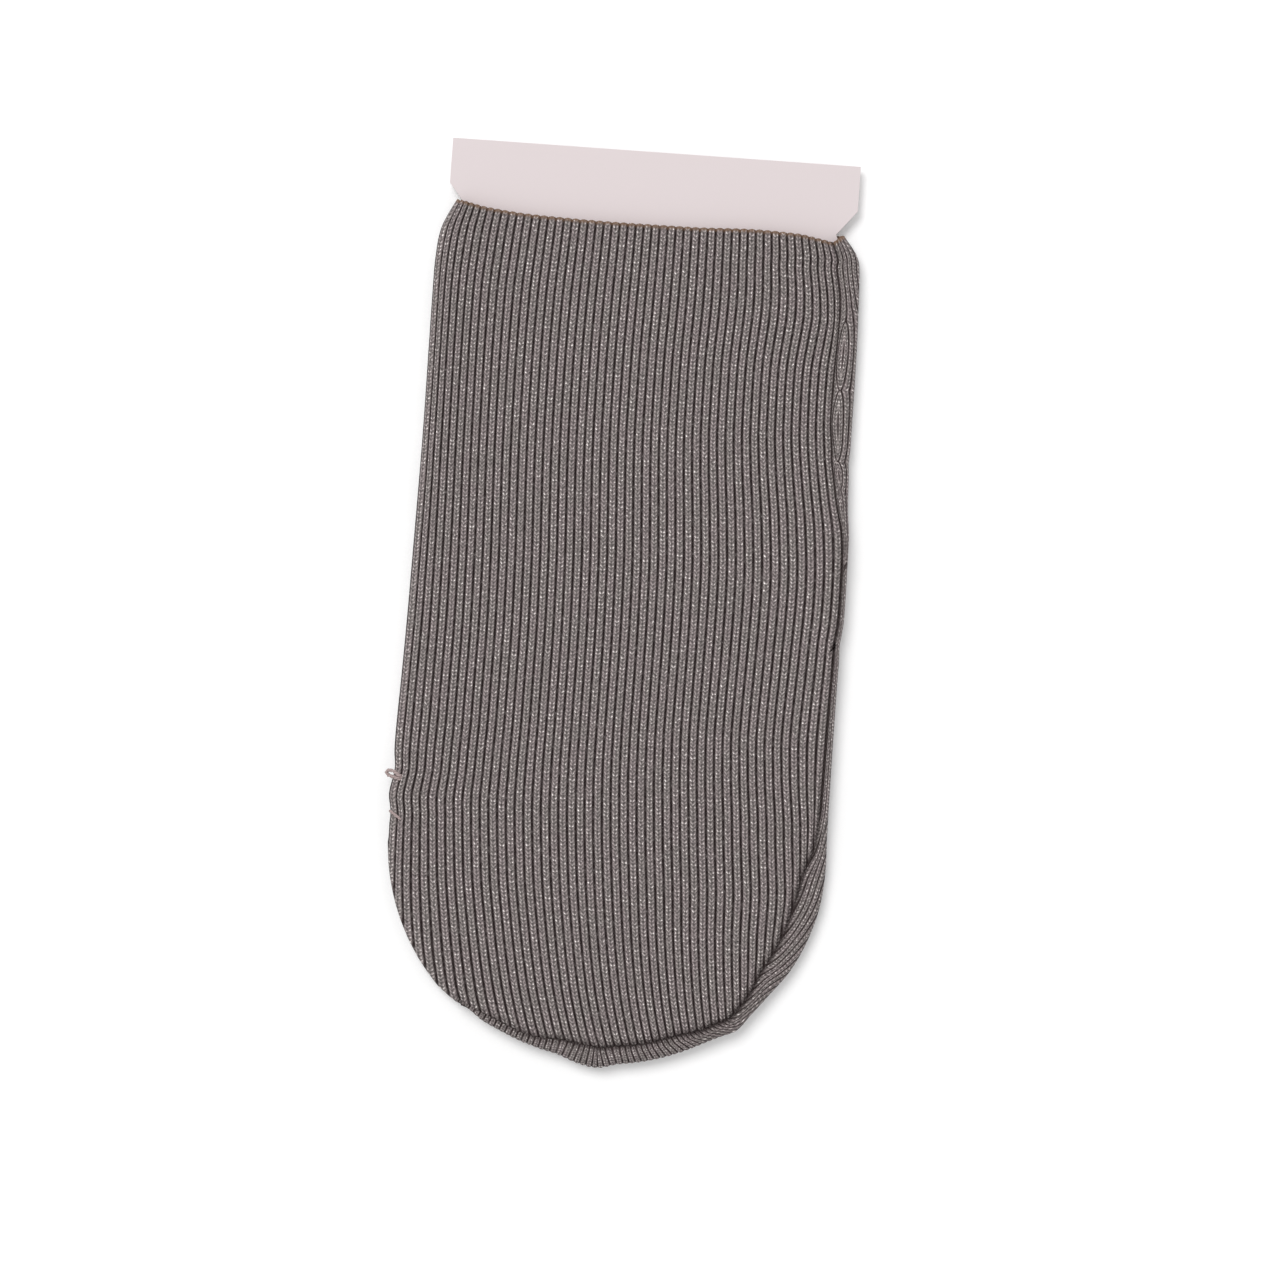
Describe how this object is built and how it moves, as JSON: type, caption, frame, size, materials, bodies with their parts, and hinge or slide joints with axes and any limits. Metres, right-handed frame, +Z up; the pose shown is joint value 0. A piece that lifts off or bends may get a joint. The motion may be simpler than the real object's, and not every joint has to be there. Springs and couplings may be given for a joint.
{
  "type": "finger sleeve",
  "caption": "Flat ribbed knit finger sleeve with a rounded sewn tip, a rolled seam edge and an open mouth, held flat by a thin card that stands out of the mouth.",
  "frame": {"origin": "middle of the part's outline seen from above, at the height of the surface that it lies on", "axes": "+X across the sleeve towards the seamed side, +Y along the sleeve towards its open mouth, +Z up, out of the face with the seam"},
  "size_m": [0.023, 0.0482, 0.0016],
  "materials": {
    "knit": "grey taupe rib knit with a silvery yarn and dark furrows",
    "thread": "fine twisted sewing thread",
    "card": "smooth matt pinkish white card"
  },
  "bodies": {
    "root": {"knit_sleeve": "knit", "seam_thread": "thread", "shaping_card": "card"}
  },
  "joints": []
}
